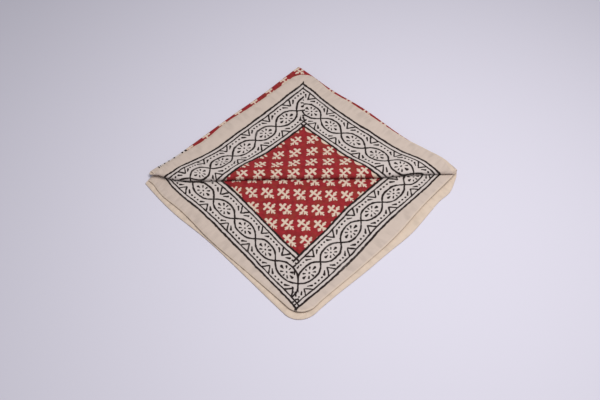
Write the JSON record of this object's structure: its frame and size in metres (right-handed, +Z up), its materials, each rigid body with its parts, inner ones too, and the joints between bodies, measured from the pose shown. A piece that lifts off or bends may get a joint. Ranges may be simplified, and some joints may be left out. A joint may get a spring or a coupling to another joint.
{
  "type": "folded ajrakh cloth",
  "caption": "Square block-printed cotton napkin in the ajrakh manner, folded in quarters with the open corner of its two top layers turned up over the diagonal, lying flat.",
  "frame": {"origin": "under the middle of the folded napkin, at the height of the surface it lies on", "axes": "+Z up, +Y from the napkin's open corner to its closed corner, +X to the right along the turned-up fold"},
  "size_m": [0.3172, 0.3114, 0.0128],
  "materials": {
    "printed_cotton": "matt plain-woven cotton, red ground with pale flowers, black outlined border on grey-beige, plain beige margin and hem"
  },
  "bodies": {
    "root": {"folded_cloth": "printed_cotton"}
  },
  "joints": []
}
